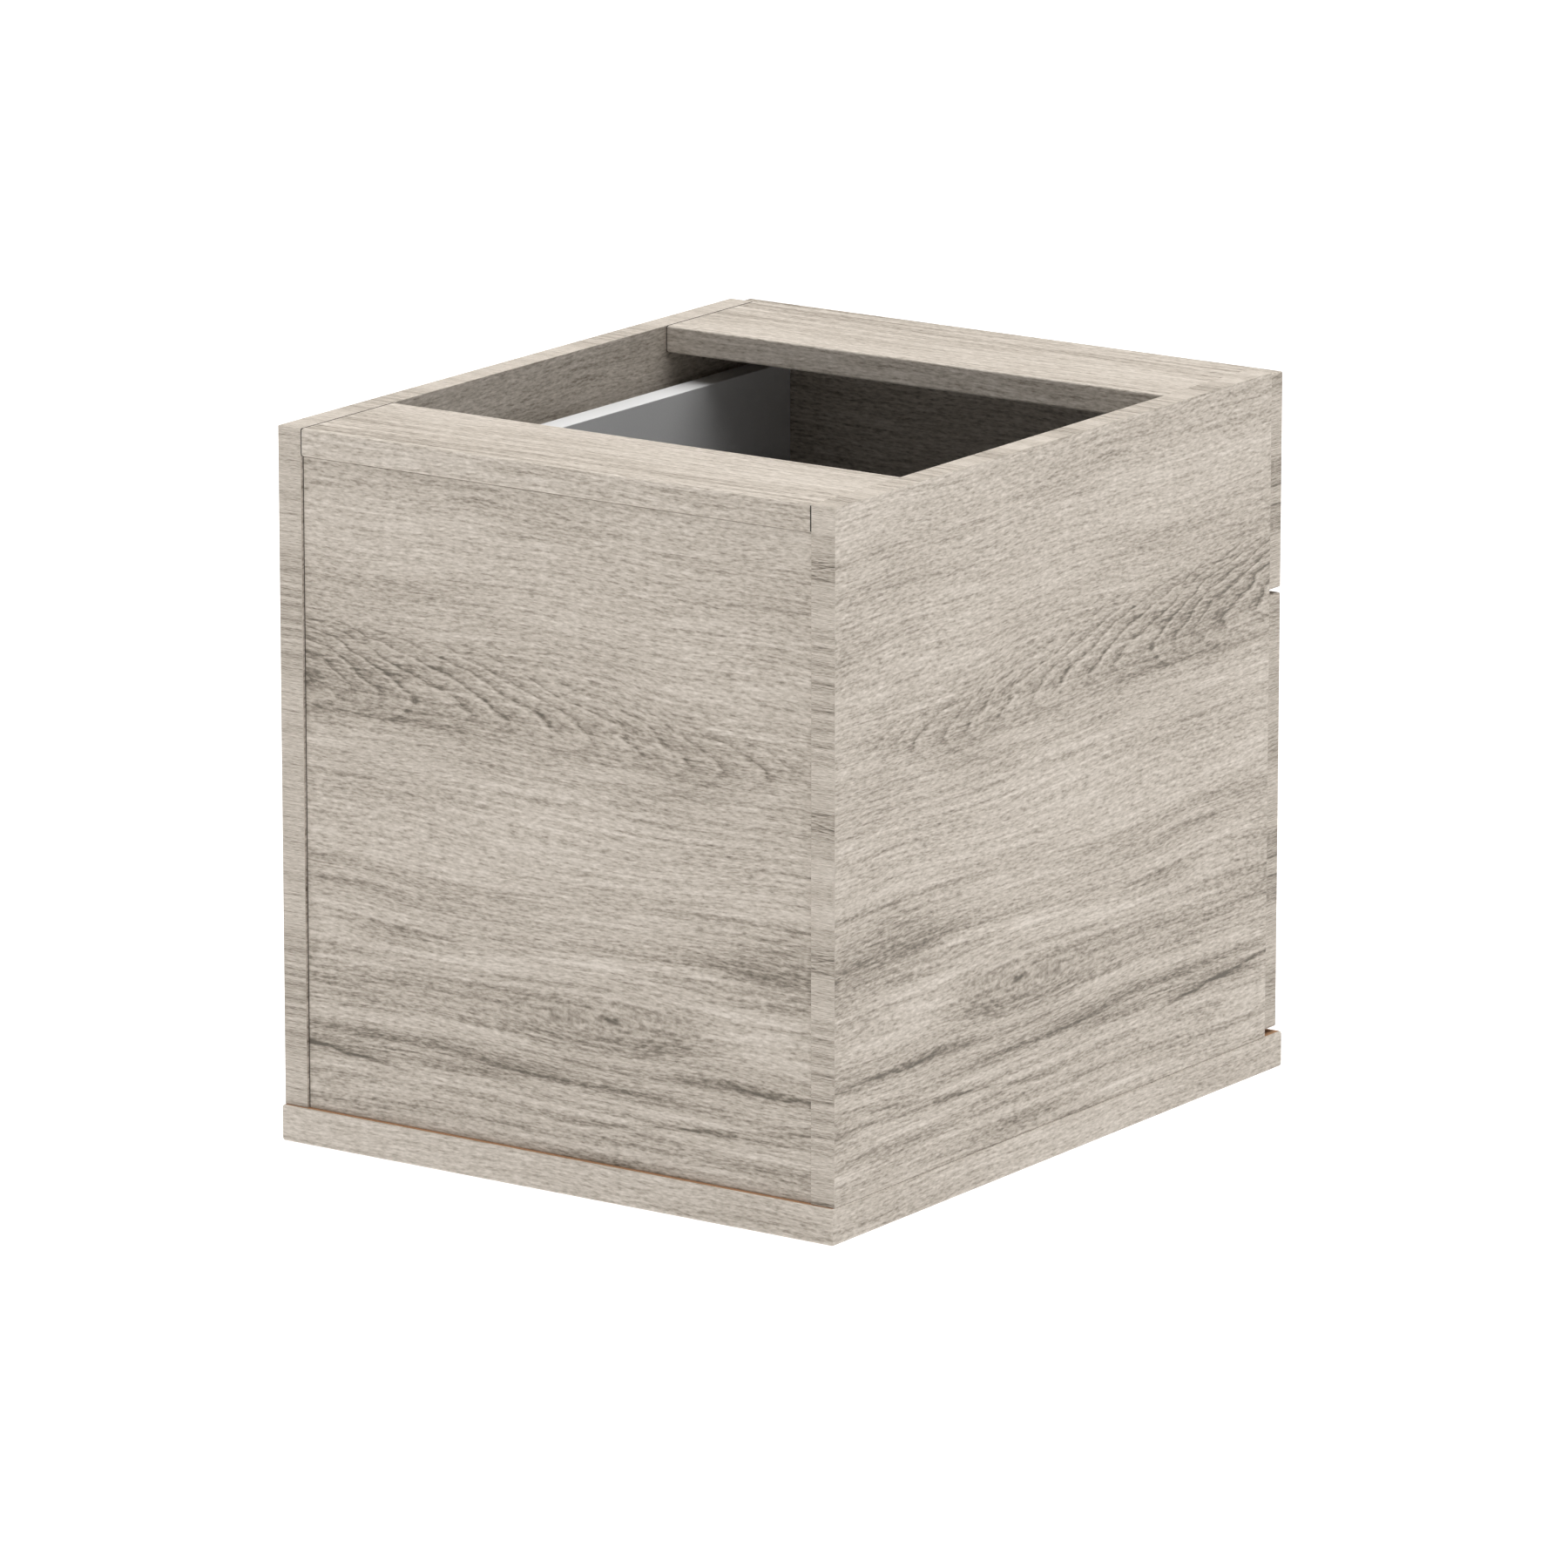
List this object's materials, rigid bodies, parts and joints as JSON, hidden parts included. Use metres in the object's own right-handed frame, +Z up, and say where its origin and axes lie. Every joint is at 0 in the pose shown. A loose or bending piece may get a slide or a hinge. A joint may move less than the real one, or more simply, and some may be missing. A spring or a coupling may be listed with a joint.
{
  "type": "two-drawer cabinet unit",
  "caption": "Low cabinet unit of laminated board with a shallow drawer over a deep one on telescopic runners, flat top rails for a worktop and a base slab.",
  "frame": {"origin": "middle of the base slab's underside, on the floor", "axes": "+Z up; the drawers open towards -Y; +X to the right of a person facing the drawers"},
  "size_m": [0.432, 0.5515, 0.471],
  "materials": {
    "oak_laminate": "matt grey oak laminate with an embossed grain",
    "base_laminate": "matt grey oak laminate, its flat top left as bare brown board",
    "white_board": "fine-textured white melamine",
    "grey_board": "fine-textured mid grey melamine",
    "beech": "plain beech",
    "runner_steel": "zinc-plated rolled steel",
    "cage_steel": "galvanised strip and polished balls",
    "zinc_fittings": "bright zinc",
    "handle_metal": "satin brushed steel"
  },
  "bodies": {
    "carcass": {"back_cam_bolts": "zinc_fittings", "back_cam_locks": "zinc_fittings", "back_dowels": "beech", "back_panel": "oak_laminate", "base_cam_bolts": "zinc_fittings", "base_cam_locks": "zinc_fittings", "base_dowels": "beech", "base_panel": "base_laminate", "front_top_rail": "oak_laminate", "lower_runner_outer_left": "runner_steel", "lower_runner_outer_right": "runner_steel", "lower_runner_outer_screws": "zinc_fittings", "rail_cam_bolts": "zinc_fittings", "rail_cam_locks": "zinc_fittings", "rail_dowels": "beech", "rear_top_rail": "oak_laminate", "side_panel_left": "oak_laminate", "side_panel_right": "oak_laminate", "upper_runner_outer_left": "runner_steel", "upper_runner_outer_right": "runner_steel", "upper_runner_outer_screws": "zinc_fittings"},
    "upper_drawer": {"upper_back": "white_board", "upper_back_screws": "zinc_fittings", "upper_bottom": "grey_board", "upper_front": "oak_laminate", "upper_front_cam_bolts": "zinc_fittings", "upper_front_cam_locks": "zinc_fittings", "upper_front_dowels": "beech", "upper_handle_bar": "handle_metal", "upper_handle_posts": "handle_metal", "upper_handle_screws": "zinc_fittings", "upper_runner_inner_left": "runner_steel", "upper_runner_inner_right": "runner_steel", "upper_runner_inner_screws": "zinc_fittings", "upper_side_left": "white_board", "upper_side_right": "white_board"},
    "upper_runner_middles": {"upper_runner_middle_left": "runner_steel", "upper_runner_middle_right": "runner_steel"},
    "upper_outer_ball_cages": {"upper_outer_ball_cages": "cage_steel"},
    "upper_inner_ball_cages": {"upper_inner_ball_cages": "cage_steel"},
    "lower_drawer": {"lower_back": "white_board", "lower_back_screws": "zinc_fittings", "lower_bottom": "grey_board", "lower_front": "oak_laminate", "lower_front_cam_bolts": "zinc_fittings", "lower_front_cam_locks": "zinc_fittings", "lower_front_dowels": "beech", "lower_handle_bar": "handle_metal", "lower_handle_posts": "handle_metal", "lower_handle_screws": "zinc_fittings", "lower_runner_inner_left": "runner_steel", "lower_runner_inner_right": "runner_steel", "lower_runner_inner_screws": "zinc_fittings", "lower_side_left": "white_board", "lower_side_right": "white_board"},
    "lower_runner_middles": {"lower_runner_middle_left": "runner_steel", "lower_runner_middle_right": "runner_steel"},
    "lower_outer_ball_cages": {"lower_outer_ball_cages": "cage_steel"},
    "lower_inner_ball_cages": {"lower_inner_ball_cages": "cage_steel"}
  },
  "joints": [
    {"name": "upper_drawer_slide", "type": "slide", "parent": "carcass", "child": "upper_drawer", "axis": [0, -1, 0], "range_m": [0, 0.45]},
    {"name": "upper_runner_middles_slide", "type": "slide", "parent": "carcass", "child": "upper_runner_middles", "axis": [0, -1, 0], "range_m": [0, 0.225]},
    {"name": "upper_outer_ball_cages_slide", "type": "slide", "parent": "carcass", "child": "upper_outer_ball_cages", "axis": [0, -1, 0], "range_m": [0, 0.1125]},
    {"name": "upper_inner_ball_cages_slide", "type": "slide", "parent": "carcass", "child": "upper_inner_ball_cages", "axis": [0, -1, 0], "range_m": [0, 0.3375]},
    {"name": "lower_drawer_slide", "type": "slide", "parent": "carcass", "child": "lower_drawer", "axis": [0, -1, 0], "range_m": [0, 0.45]},
    {"name": "lower_runner_middles_slide", "type": "slide", "parent": "carcass", "child": "lower_runner_middles", "axis": [0, -1, 0], "range_m": [0, 0.225]},
    {"name": "lower_outer_ball_cages_slide", "type": "slide", "parent": "carcass", "child": "lower_outer_ball_cages", "axis": [0, -1, 0], "range_m": [0, 0.1125]},
    {"name": "lower_inner_ball_cages_slide", "type": "slide", "parent": "carcass", "child": "lower_inner_ball_cages", "axis": [0, -1, 0], "range_m": [0, 0.3375]}
  ],
  "couplings": [
    {"joint": "upper_runner_middles_slide", "follows": "upper_drawer_slide", "ratio": 0.5},
    {"joint": "upper_outer_ball_cages_slide", "follows": "upper_drawer_slide", "ratio": 0.25},
    {"joint": "upper_inner_ball_cages_slide", "follows": "upper_drawer_slide", "ratio": 0.75},
    {"joint": "lower_runner_middles_slide", "follows": "lower_drawer_slide", "ratio": 0.5},
    {"joint": "lower_outer_ball_cages_slide", "follows": "lower_drawer_slide", "ratio": 0.25},
    {"joint": "lower_inner_ball_cages_slide", "follows": "lower_drawer_slide", "ratio": 0.75}
  ]
}
